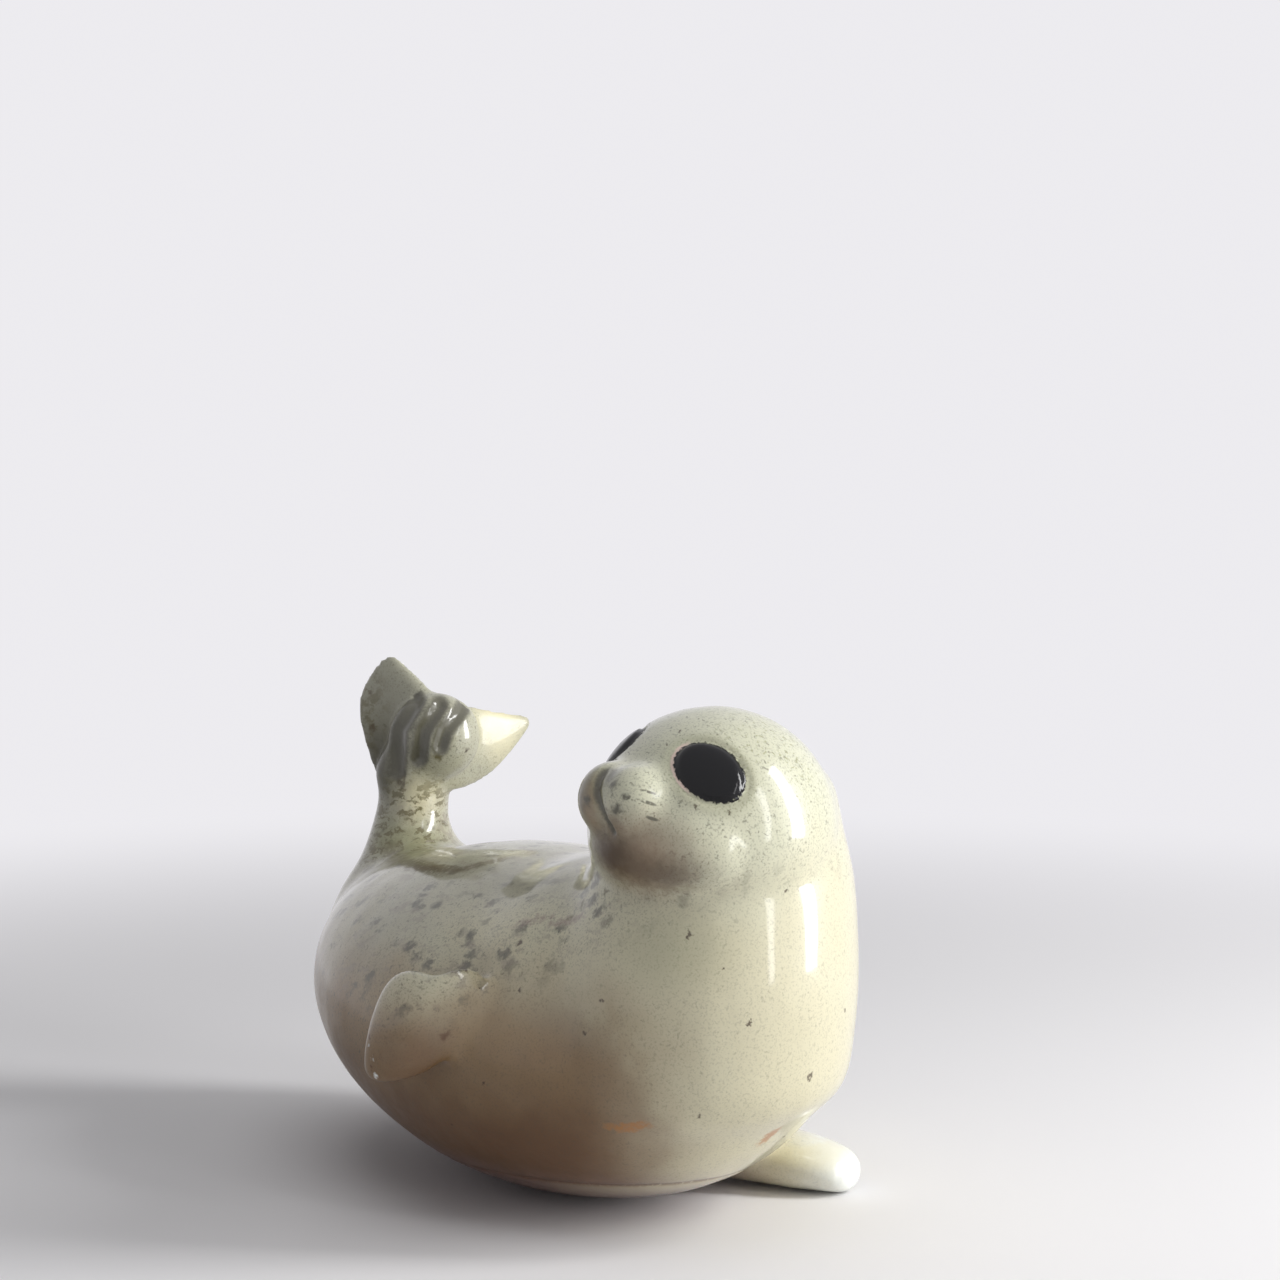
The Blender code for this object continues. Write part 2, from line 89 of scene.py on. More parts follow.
class Clay:
    """The modelling steps that every form of the seal goes through."""

    meridians: int = 64
    parallels: int = 40
    corners: int = 40
    steps: int = 8
    least: float = 0.3 * MM
    softness: float = 0.5

    @staticmethod
    def spline(rows: Rows, per_span: int) -> np.ndarray:
        """Reads rows of numbers from a smooth curve through the given rows.

        Args:
            rows: the rows that the curve passes through.
            per_span: how many steps lie between two rows.

        Returns:
            One row for each step.
        """
        table = np.array(rows, float)
        padded = np.vstack([2 * table[0] - table[1], table, 2 * table[-1] - table[-2]])
        spans = len(table) - 1
        found = []
        for step in range(spans * per_span + 1):
            span = min(step // per_span, spans - 1)
            t = step / per_span - span
            a, b, c, d = padded[span : span + 4]
            cubic = (3 * b - a - 3 * c + d) * t**3
            square = (2 * a - 5 * b + 4 * c - d) * t**2
            found.append(0.5 * (2 * b + (c - a) * t + square + cubic))
        return np.array(found)

    @staticmethod
    def finished(name: str, form: Form) -> Mesh:
        """Turns a form into a mesh.

        Args:
            name: the mesh's name.
            form: the form, which is freed.

        Returns:
            The mesh, its faces outwards.
        """
        bmesh.ops.recalc_face_normals(form, faces=form.faces)
        mesh = bpy.data.meshes.new(name)
        form.to_mesh(mesh)
        form.free()
        return mesh

    @classmethod
    def ball(cls, name: str, place: Matrix, centre: Numbers, sizes: Numbers) -> Mesh:
        """Makes an ellipsoid.

        Args:
            name: its name.
            place: the frame that the centre is read in.
            centre: its centre in that frame.
            sizes: its three full sizes.

        Returns:
            Its mesh.
        """
        form = bmesh.new()
        matrix = place @ Matrix.LocRotScale(Vector(centre), None, Vector(sizes) / 2)
        grid = {"u_segments": cls.meridians, "v_segments": cls.parallels}
        bmesh.ops.create_uvsphere(form, radius=1, matrix=matrix, **grid)
        return cls.finished(name, form)

    @classmethod
    def limb(cls, name: str, place: Matrix, side: Numbers, face: Numbers, rows: Rows) -> Mesh:
        """Makes a closed loft of ovals.

        Args:
            name: its name.
            place: the frame that the rows are read in.
            side: the direction of each oval's first half size.
            face: the direction of each oval's second half size.
            rows: a centre and two half sizes for each oval.

        Returns:
            Its mesh.
        """
        across = Vector(side).normalized()
        along = across.cross(Vector(face).normalized())
        outward = along.cross(across).normalized()
        turned = Matrix((across, outward, along)).transposed().to_4x4()
        form = bmesh.new()
        rings = []
        for x, y, z, *halves in cls.spline(rows, cls.steps):
            stretch = Matrix.Diagonal((*(max(half, cls.least) for half in halves), 1, 1))
            matrix = place @ Matrix.Translation((x, y, z)) @ turned @ stretch
            made = bmesh.ops.create_circle(form, segments=cls.corners, radius=1, matrix=matrix)
            rings.append({edge for vert in made["verts"] for edge in vert.link_edges})
        for lower, upper in zip(rings, rings[1:]):
            bmesh.ops.bridge_loops(form, edges=list(lower | upper))
        for ring in (rings[0], rings[-1]):
            bmesh.ops.contextual_create(form, geom=list(ring))
        return cls.finished(name, form)

    @staticmethod
    def applied(helper: bpy.types.Object) -> Mesh:
        """Applies an object's modifiers.

        Args:
            helper: the object, which is removed.

        Returns:
            A new mesh.
        """
        graph = bpy.context.evaluated_depsgraph_get()
        mesh = bpy.data.meshes.new_from_object(helper.evaluated_get(graph))
        bpy.data.objects.remove(helper)
        return mesh

    @staticmethod
    def frame(centre: Numbers, turn: float) -> Matrix:
        """Gives a frame on a centre, turned to the animal's right by degrees."""
        return Matrix.Translation(centre) @ Matrix.Rotation(-math.radians(turn), 4, "Z")

    @staticmethod
    def helper(name: str, mesh: Mesh) -> bpy.types.Object:
        """Puts a mesh in the scene as an object to work on."""
        made = bpy.data.objects.new(name, mesh)
        bpy.context.scene.collection.objects.link(made)
        return made

    @classmethod
    def fused(cls, name: str, forms: Iterable[Mesh], voxel: float, sponging: int) -> Mesh:
        """Joins forms to one closed skin and smooths its joints as a sponge smooths wet clay.

        Args:
            name: the skin's name.
            forms: the meshes to join.
            voxel: how finely they are joined.
            sponging: how many times the skin is smoothed.

        Returns:
            The skin.
        """
        lump = bmesh.new()
        for form in forms:
            lump.from_mesh(form)
        mesh = bpy.data.meshes.new(name)
        lump.to_mesh(mesh)
        lump.free()
        helper = cls.helper(name, mesh)
        skin = helper.modifiers.new("Skin", "REMESH")
        skin.mode = "VOXEL"
        skin.voxel_size = voxel
        sponge = helper.modifiers.new("Sponge", "SMOOTH")
        sponge.factor = cls.softness
        sponge.iterations = sponging
        return cls.applied(helper)


class Surface:
    """The vertices of a skin as arrays, to press lines into it and to paint along them."""

    inset: float = 1.2  # more than the noise ever gives, so that the waves only go in

    def __init__(self, mesh: Mesh) -> None:
        """Reads a mesh.

        Args:
            mesh: the skin that is worked on.
        """
        self.mesh = mesh
        self.read()

    def column(self, name: str) -> np.ndarray:
        """Reads a vector of each vertex.

        Args:
            name: what it is called in a mesh.

        Returns:
            One row for each vertex.
        """
        flat = np.empty(len(self.mesh.vertices) * 3, np.float32)
        self.mesh.vertices.foreach_get(name, flat)
        return flat.reshape(-1, 3).astype(float)

    def read(self) -> None:
        """Reads the places and normals again."""
        self.places = self.column("co")
        self.normals = self.column("normal")

    def seen_from(self, place: Matrix) -> tuple[np.ndarray, np.ndarray]:
        """Reads the surface in a frame.

        Args:
            place: the frame.

        Returns:
            The places in it, and how far each vertex faces along its first axis.
        """
        inverse = np.array(place.inverted())
        inside = self.places @ inverse[:3, :3].T + inverse[:3, 3]
        return inside, (self.normals @ inverse[:3, :3].T)[:, 0]

    @staticmethod
    def to_line(points: np.ndarray, line: Rows) -> np.ndarray:
        """Measures the distance of points to a line with corners.

        Args:
            points: one row for each point.
            line: the line's corners.

        Returns:
            One distance for each point.
        """
        nearest = np.full(len(points), np.inf)
        corners = np.array(line, float)
        for start, end in zip(corners[:-1], corners[1:]):
            span = end - start
            share = np.clip((points - start) @ span / (span @ span), 0, 1)
            nearest = np.minimum(nearest, np.linalg.norm(points - start - share[:, None] * span, axis=1))
        return nearest

    @staticmethod
    def stroke(gap: np.ndarray, half_width: float, where: np.ndarray) -> np.ndarray:
        """A soft stroke.

        Args:
            gap: the distance of each vertex from its middle.
            half_width: where it ends.
            where: 1 or True where it may be.

        Returns:
            1 in the middle, falling to 0 at the ends.
        """
        share = np.clip(1 - np.abs(gap) / half_width, 0, 1)
        return share * share * (3 - 2 * share) * where

    def push(self, amount: np.ndarray) -> None:
        """Moves each vertex in along its normal by an amount.

        Args:
            amount: how far each vertex goes in, or out where it is negative.
        """
        moved = self.places - self.normals * amount[:, None]
        self.mesh.vertices.foreach_set("co", moved.astype(np.float32).ravel())
        self.mesh.update()
        self.read()

    def uneven(self, waves: Numbers, depth: float) -> None:
        """Gives the skin the slight waves of a glaze that ran.

        Args:
            waves: the length of a wave along each axis.
            depth: its depth.
        """
        scaled = self.places / np.array(waves)
        self.push(depth * (self.inset + np.array([noise.noise(Vector(place)) for place in scaled])))

    def keep(self, name: str, values: np.ndarray) -> None:
        """Keeps a number for each vertex as an attribute that a glaze can read.

        Args:
            name: the attribute's name.
            values: one number for each vertex.
        """
        layer = self.mesh.attributes.new(name, "FLOAT", "POINT")
        layer.data.foreach_set("value", values.astype(np.float32))


@dataclass(frozen=True)
class Body:
    """Trunk, shoulders, chest and neck."""

    trunk: Rows = rows_in_mm(
        (-100.6, 0, 56.5, 1, 1), (-98.7, 0, 56.2, 11.5, 9), (-92.6, 0, 55.2, 24, 18.4),
        (-81.5, 0, 53, 37.6, 28.4), (-65, 0, 50.6, 48.6, 36.4), (-41.5, 0, 47.9, 57.1, 42.7),
        (-14, 0, 45.6, 60, 46.35), (13.5, 0, 44.3, 57.1, 44.4), (37, 0, 42.7, 49.1, 38),
        (54.2, 0, 41.9, 38.6, 29.6), (66.7, 0, 41.2, 25.4, 19.5), (73.1, 0, 40.9, 12.5, 9.6),
        (75, 0, 40.8, 1, 1),
    )
    shoulder_centre: Numbers = in_mm(18, 0, 60)
    shoulder_sizes: Numbers = in_mm(88, 98, 70)
    neck: Rows = rows_in_mm(
        (36, 0, 20, 17, 24), (43.5, 0, 34, 36.5, 39.5), (45.5, 0, 50, 39, 42.5),
        (47, 0, 66, 39.3, 42.3), (49.5, 1.5, 82, 35.3, 39.3), (51.3, 2.8, 94, 31.6, 36.4),
        (52.3, 2.8, 106, 28, 32.2), (53.4, 2.8, 116, 25.6, 30.4), (53.4, 2.2, 122, 21, 25.4),
    )
    seam_height: float = 11.1 * MM
    seam_slope: float = 0.044
    seam_width: float = 1.8 * MM
    seam_depth: float = 0.3 * MM
    seam_reach: float = 24 * MM
    seam_back: float = -20 * MM

    def press(self, surface: Surface) -> np.ndarray:
        """Presses the seam round the foot.

        Args:
            surface: the skin.

        Returns:
            The painted share of each vertex.
        """
        x, y, z = surface.places.T
        where = (y < self.seam_reach) & (x > self.seam_back)
        line = surface.stroke(z - self.seam_height - self.seam_slope * x, self.seam_width / 2, where)
        surface.push(self.seam_depth * line)
        return line

    def forms(self) -> list[Mesh]:
        """Makes the forms."""
        return [
            Clay.limb("trunk", HERE, (0, 1, 0), (0, 0, 1), self.trunk),
            Clay.ball("shoulders", HERE, self.shoulder_centre, self.shoulder_sizes),
            Clay.limb("neck", HERE, (1, 0, 0), (0, 1, 0), self.neck),
        ]


@dataclass(frozen=True)
class Head:
    """Skull, jaw, muzzle and eyes. Places are (forward, to its left, up) from its centre."""

    centre: Numbers = in_mm(53, -2.4, 105)
    turn: float = 90.0
    sizes: Numbers = in_mm(66.6, 63, 63)
    jaw_place: Numbers = in_mm(13.6, 3, -1.5)
    jaw_sizes: Numbers = in_mm(44.6, 51, 34)
    muzzle_place: Numbers = in_mm(29, 4.7, 9.4)
    muzzle_sizes: Numbers = in_mm(20, 18, 20)
    bridge_place: Numbers = in_mm(24.5, 0.5, 11.6)
    bridge_sizes: Numbers = in_mm(26, 17, 14.5)
    left_eye: Numbers = in_mm(17, 17.8, 17.3)
    right_eye: Numbers = in_mm(16.5, -15.8, 19.3)
    eye_sizes: Numbers = in_mm(20.6, 15.4, 5)
    eye_tilt: float = -42.0
    rim: float = 1.6 * MM
    rim_depth: float = 0.8 * MM
    cleft: Rows = rows_in_mm((-2.6, 17), (-1, 11.5), (1.6, 7), (3.2, 3))
    cleft_width: float = 3.6 * MM
    cleft_depth: float = 1.2 * MM
    cleft_paint: float = 0.62

    def place(self) -> Matrix:
        """The frame of the head."""
        return Clay.frame(self.centre, self.turn)

    def forms(self) -> list[Mesh]:
        """Makes the skull, jaw and muzzle.

        Returns:
            Their meshes.
        """
        place = self.place()
        forward, aside, up = self.muzzle_place
        return [
            Clay.ball("skull", place, (0, 0, 0), self.sizes),
            Clay.ball("jaw", place, self.jaw_place, self.jaw_sizes),
            Clay.ball("bridge", place, self.bridge_place, self.bridge_sizes),
            *(Clay.ball("muzzle", place, (forward, side * aside, up), self.muzzle_sizes) for side in Side),
        ]

    def eye(self, side: Side) -> Matrix:
        """The frame of one eye.

        Args:
            side: the side that it is on.

        Returns:
            A frame on its centre: its long axis, its short axis and the way out of the head.
        """
        place = Vector(self.left_eye if side is Side.LEFT else self.right_eye)
        length, width, height = self.sizes
        outward = Vector((place.x / length**2, place.y / width**2, place.z / height**2))
        turned = outward.to_track_quat("Z", "Y").to_matrix().to_4x4()
        tilt = Matrix.Rotation(math.radians(side * self.eye_tilt), 4, "Z")
        return self.place() @ Matrix.Translation(place) @ turned @ tilt

    def eyes(self) -> list[Mesh]:
        """Makes the two domes."""
        return [Clay.ball("eye", self.eye(side), (0, 0, 0), self.eye_sizes) for side in Side]

    def press(self, surface: Surface) -> np.ndarray:
        """Presses the cleft and the eye rims.

        Args:
            surface: the skin.

        Returns:
            The painted share of each vertex.
        """
        inside, facing = surface.seen_from(self.place())
        where = (facing > FACING) & (inside[:, 0] > self.muzzle_place[0])
        gap = surface.to_line(inside[:, 1:], self.cleft)
        surface.push(self.cleft_depth * surface.stroke(gap, self.cleft_width / 2, where))
        paint = surface.stroke(gap, self.cleft_paint * self.cleft_width, where)
        for side in Side:
            seen, _ = surface.seen_from(self.eye(side))
            half = (self.eye_sizes[0] + self.eye_sizes[1]) / 4
            around = np.hypot(seen[:, 0] / self.eye_sizes[0], seen[:, 1] / self.eye_sizes[1]) * 2
            near = np.abs(seen[:, 2]) < half
            surface.push(self.rim_depth * surface.stroke((around - 1) * half, self.rim, near))
        return paint


@dataclass(frozen=True)
class Tail:
    """Stem, grooved knuckle and two flukes. Places are (out of the grooved face, to its left, up)."""

    stem: Rows = rows_in_mm(
        (-70, 0, 48, 28, 36), (-73, 0, 60, 29, 35), (-79.3, 0, 71, 22.8, 26.8),
        (-84.2, 0, 81, 14.8, 17), (-86.5, 0.5, 90, 10.8, 12.4), (-86.3, 1.5, 99, 10, 11.2),
        (-85.5, 2, 108, 11, 13), (-81, 3, 120, 8, 10),
    )
    centre: Numbers = in_mm(-78.5, 3.5, 117)
    turn: float = 32.0
    knuckle: Numbers = in_mm(19, 28, 27)
    toes: int = 3
    toe_pitch: float = 6.8 * MM
    groove_width: float = 5.4 * MM
    groove_depth: float = 1.4 * MM
    groove_offset: float = 0.8
    groove_lean: Numbers = in_mm(5.5, 6.5)
    groove_fan: float = 0.5 * MM
    # In parts of the knuckle's height: the first groove's top, and how much lower the next one's is.
    groove_top: Numbers = (0.42, 0.05)
    groove_bend: float = 0.1
    # How much higher each next groove's foot is, and how low the first one's.
    groove_foot: Numbers = (0.14, 0.36)
    sweep: float = 28.0
    root_thickness: float = 8 * MM
    tip_thickness: float = 3.4 * MM
    left_fluke: Rows = rows_in_mm(
        (0, -17, 8.5), (7, -17, 9.3), (14, -15.5, 8.2),
        (21, -12, 6.6), (28, -6, 5.3), (32.5, -1, 4.4),
        (34, 1.5, 3.6),
    )
    right_fluke: Rows = rows_in_mm(
        (0, -18, 12.8), (5, -18, 17.6), (10, -18, 22),
        (14, -17, 24.3), (18.5, -14, 21.7), (22.2, -5, 16.5),
        (24.3, 3, 12),
    )
    valley_centre: Numbers = in_mm(-58, 12, 89)
    valley_sizes: Numbers = in_mm(44, 52, 34)
    valley_depth: float = 4.4 * MM

    def place(self) -> Matrix:
        """The frame of the tail's end."""
        return Clay.frame(self.centre, self.turn)

    def root(self) -> Mesh:
        """Makes the stem."""
        return Clay.limb("stem", HERE, (1, 0, 0), (0, 1, 0), self.stem)

    def knob(self) -> Mesh:
        """Makes the knuckle."""
        return Clay.ball("knuckle", self.place(), (0, 0, 0), self.knuckle)

    def fluke(self, outline: Rows, side: Side) -> Mesh:
        """Makes a blade that sweeps back from the stem.

        Args:
            outline: rows of distance out from the stem, lower edge and upper edge.
            side: the side that it is on.

        Returns:
            Its mesh.
        """
        sweep = math.radians(self.sweep)
        out = Vector((-math.sin(sweep), side * math.cos(sweep), 0))
        rows = []
        for distance, lower, upper in outline:
            middle = out * distance + Vector((0, 0, (lower + upper) / 2))
            share = distance / outline[-1][0]
            thickness = self.root_thickness + (self.tip_thickness - self.root_thickness) * share
            rows.append((*middle, (upper - lower) / 2, thickness / 2))
        normal = out.cross(Vector((0, 0, 1)))
        return Clay.limb("fluke", self.place(), (0, 0, 1), normal, rows)

    def groove(self, number: int) -> Rows:
        """The line of one groove.

        Args:
            number: which groove, from the animal's right.

        Returns:
            Its corners, in places (to its left, up).
        """
        start = (number - self.groove_offset) * self.toe_pitch
        fan = (number - (self.toes - 1) / 2) * self.groove_fan
        height = self.knuckle[2]
        top, drop = self.groove_top
        rise, foot = self.groove_foot
        bend, end = (start - lean for lean in self.groove_lean)
        return (
            (start, height * (top - drop * number)),
            (bend, self.groove_bend * height),
            (end - fan, height * (rise * number - foot)),
        )

    def press(self, surface: Surface) -> np.ndarray:
        """Presses the valley in front of the stem and the grooves.

        Args:
            surface: the skin.

        Returns:
            The painted share of each vertex.
        """
        inside = (surface.places - np.array(self.valley_centre)) / np.array(self.valley_sizes) * 2
        surface.push(self.valley_depth * surface.stroke(np.linalg.norm(inside, axis=1), 1.0, np.array(1.0)))
        paint = np.zeros(len(surface.places))
        for number in range(self.toes):
            inside, facing = surface.seen_from(self.place())
            where = (facing > FACING) & (inside[:, 0] > 0)
            gap = surface.to_line(inside[:, 1:], self.groove(number))
            surface.push(self.groove_depth * surface.stroke(gap, self.groove_width / 2, where))
            paint = np.maximum(paint, surface.stroke(gap, self.groove_width, where))
        return paint


@dataclass(frozen=True)
class Flippers:
    """The right flipper, laid back along the flank, and the left one, spread on the ground."""

    right: Rows = rows_in_mm(
        (20, -46, 56, 7, 4), (18.5, -52, 57.5, 10, 6), (17, -57, 58.6, 13.6, 7),
        (15.5, -61.5, 56.9, 14.4, 7), (12.2, -65, 54.9, 14.4, 6.8), (8, -67, 54.6, 15.6, 6.3),
        (3.6, -68.4, 54.2, 16, 5.6), (-0.3, -69.3, 53.4, 14.2, 4.6), (-2.6, -69.6, 52, 10, 2.6),
    )
    right_side: Numbers = (0.2, 0.15, 1)
    right_face: Numbers = (0.1, -1, 0.15)
    left: Rows = rows_in_mm(
        (16, 26, 10, 12, 8), (29, 34.5, 8.5, 13, 8), (41, 40.5, 7.5, 12.5, 7.5),
        (49, 44.5, 6.5, 11, 6.5), (54, 46.8, 5.5, 8, 5.5), (56, 48, 5, 4, 3),
    )
    left_side: Numbers = (0.4, -0.9, 0)
    left_face: Numbers = (0, 0, 1)

    def forms(self) -> list[Mesh]:
        """Makes both blades."""
        return [
            Clay.limb("right flipper", HERE, self.right_side, self.right_face, self.right),
            Clay.limb("left flipper", HERE, self.left_side, self.left_face, self.left),
        ]


class Value:
    """A number that varies over a surface. An expression on it adds its Math nodes."""

    def __init__(self, bench: Bench, socket: Socket) -> None:
        """Wraps a socket.

        Args:
            bench: the bench that adds nodes.
            socket: the socket that gives the number.
        """
        self.bench = bench
        self.socket = socket

    def _with(self, operation: str, first: object, second: object = None) -> Value:
        """Adds one Math node.

        Args:
            operation: its operation.
            first: its first value.
            second: its second value, if it has one.

        Returns:
            What it gives.
        """
        values = {0: first} if second is None else {0: first, 1: second}
        return self.bench.value("ShaderNodeMath", {"operation": operation}, values)

    def __add__(self, other: object) -> Value:
        """The sum."""
        return self._with("ADD", self, other)

    __radd__ = __add__

    def __sub__(self, other: object) -> Value:
        """The difference."""
        return self._with("SUBTRACT", self, other)

    def __rsub__(self, other: object) -> Value:
        """The difference."""
        return self._with("SUBTRACT", other, self)

    def __mul__(self, other: object) -> Value:
        """The product."""
        return self._with("MULTIPLY", self, other)

    __rmul__ = __mul__

    def __truediv__(self, other: object) -> Value:
        """The quotient."""
        return self._with("DIVIDE", self, other)

    def root(self) -> Value:
        """The square root."""
        return self._with("SQRT", self)

    def most(self, other: object) -> Value:
        """The larger of two."""
        return self._with("MAXIMUM", self, other)

    def rise(self, low: float, high: float) -> Value:
        """A soft step.

        Args:
            low: where it is 0.
            high: where it is 1, which may be below low.

        Returns:
            A number from 0 to 1.
        """
        settings = {"interpolation_type": "SMOOTHSTEP", "clamp": True}
        if low < high:
            return self.bench.value("ShaderNodeMapRange", settings, {0: self, 1: low, 2: high})
        turned = {0: self, 1: high, 2: low, 3: 1.0, 4: 0.0}
        return self.bench.value("ShaderNodeMapRange", settings, turned)


class Bench:
    """Makes the nodes of one material or of the world."""

    def __init__(self, owner: bpy.types.Material | bpy.types.World) -> None:
        """Opens the nodes of a material or a world.

        Args:
            owner: what the nodes belong to.
        """
        owner.use_nodes = True
        self.owner = owner
        self.tree = owner.node_tree

    def node(self, kind: str, settings: Settings, values: Settings) -> bpy.types.Node:
        """Adds a node.

        Args:
            kind: its type.
            settings: its own settings, which are set first.
            values: the value or link of each socket, by name or number.

        Returns:
            The node.
        """
        made = self.tree.nodes.new(kind)
        for name, setting in settings.items():
            setattr(made, name, setting)
        for key, value in values.items():
            self.feed(made.inputs[key], value)
        return made

    def feed(self, socket: Socket, value: object) -> None:
        """Links a socket to what feeds it, or sets it.

        Args:
            socket: the socket.
            value: a value, another socket, or what to set it to.
        """
        if isinstance(value, Value):
            self.tree.links.new(value.socket, socket)
        elif isinstance(value, Socket):
            self.tree.links.new(value, socket)
        else:
            socket.default_value = value

    def value(self, kind: str, settings: Settings, values: Settings, output: int = 0) -> Value:
        """Adds a node that gives a number."""
        return Value(self, self.node(kind, settings, values).outputs[output])

    def vector_math(self, operation: str, *values: object) -> bpy.types.Node:
        """Adds a Vector Math node."""
        return self.node("ShaderNodeVectorMath", {"operation": operation}, dict(enumerate(values)))

    def vector(self, operation: str, first: object, second: object) -> Socket:
        """Reads the vector of two others."""
        return self.vector_math(operation, first, second).outputs["Vector"]

    def dot(self, first: object, second: object) -> Value:
        """Reads the dot product of two vectors."""
        return Value(self, self.vector_math("DOT_PRODUCT", first, second).outputs["Value"])

    def length(self, gap: object) -> Value:
        """Reads a vector's length."""
        return Value(self, self.vector_math("LENGTH", gap).outputs["Value"])

    def seen(self) -> Value:
        """Finds the rays that show the room itself: straight, off a gloss or through something clear.

        Returns:
            1 for such a ray and 0 for one that only carries light.
        """
        path = self.node("ShaderNodeLightPath", {}, {}).outputs
        rays = ("Is Camera Ray", "Is Glossy Ray", "Is Transmission Ray")
        straight, glossy, clear = (Value(self, path[name]) for name in rays)
        return straight.most(glossy).most(clear)

    def over(self, below: object, above: Numbers, share: object) -> Socket:
        """Lays a colour over another.

        Args:
            below: the colour below.
            above: the colour above.
            share: how much of it covers.

        Returns:
            The colour that results.
        """
        under = below if isinstance(below, Socket) else (*below, 1.0)
        settings = {"data_type": "RGBA", "blend_type": "MIX", "clamp_factor": True}
        values = {0: share, 6: under, 7: (*above, 1.0)}
        return self.node("ShaderNodeMix", settings, values).outputs[2]

    def noise(self, place: object, scale: float, detail: float = 2.0, distortion: float = 0.0) -> Value:
        """Adds soft noise, whose features are about 1 / scale wide."""
        values = {"Vector": place, "Scale": scale, "Detail": detail, "Distortion": distortion}
        return self.value("ShaderNodeTexNoise", {"noise_dimensions": "3D"}, values)

    def shaken(self, place: object, scale: float, amount: float) -> Socket:
        """Shakes coordinates, so that no mark in them keeps an even edge.

        Args:
            place: the coordinates.
            scale: how fine the shake is.
            amount: about how far it goes.

        Returns:
            The new coordinates.
        """
        values = {"Vector": place, "Scale": scale, "Detail": 3.0}
        made = self.node("ShaderNodeTexNoise", {"noise_dimensions": "3D"}, values)
        shake = self.vector("SUBTRACT", made.outputs[1], (0.5, 0.5, 0.5))
        return self.vector("ADD", place, self.vector("MULTIPLY", shake, (4 * amount,) * 3))

    def drawn_out(self, place: object, turn: Numbers, sizes: Numbers) -> Socket:
        """Draws a pattern out along turned axes.

        Args:
            place: the coordinates.
            turn: the turn of the axes in degrees.
            sizes: how long the pattern becomes along each of them.

        Returns:
            The new coordinates.
        """
        angles = tuple(math.radians(angle) for angle in turn)
        values = {"Vector": place, "Rotation": angles, "Scale": tuple(sizes)}
        return self.node("ShaderNodeMapping", {"vector_type": "TEXTURE"}, values).outputs[0]

    def cells(self, place: object, scale: float) -> tuple[Value, Value]:
        """Adds scattered cells.

        Args:
            place: the coordinates.
            scale: how many there are to a unit.

        Returns:
            The distance to the nearest centre in cells, and a number of that cell's own.
        """
        made = self.node("ShaderNodeTexVoronoi", {"feature": "F1"}, {"Vector": place, "Scale": scale})
        own = self.node("ShaderNodeSeparateColor", {}, {0: made.outputs["Color"]})
        return Value(self, made.outputs["Distance"]), Value(self, own.outputs[0])

    def blob(self, place: object, centre: Numbers, radii: Numbers, hard: float = 0.0) -> Value:
        """A soft patch.

        Args:
            place: the coordinates.
            centre: its centre.
            radii: its radii.
            hard: 0 for a patch that fades all the way, up to 1 for a crisp one.

        Returns:
            1 inside, falling to 0 at the radii.
        """
        gap = self.vector("SUBTRACT", place, tuple(centre))
        return self.length(self.vector("DIVIDE", gap, tuple(radii))).rise(1.0, min(hard, 0.98))

    def dash(self, place: object, start: Numbers, end: Numbers, width: float, soft: float = 0.5) -> Value:
        """A brush mark between two points.

        Args:
            place: the coordinates.
            start: where it starts.
            end: where it ends.
            width: its full width.
            soft: how much of its edge fades.

        Returns:
            1 on the mark and 0 off it.
        """
        first, last = Vector(start), Vector(end)
        along = last - first
        half = along.length / 2 + width / 2
        gap = self.vector("SUBTRACT", place, tuple((first + last) / 2))
        run = self.dot(gap, tuple(along.normalized()))
        aside = (self.dot(gap, gap) - run * run) / (width / 2) ** 2
        return (aside + run * run / half**2).rise(1.0 + soft, 1.0 - soft)


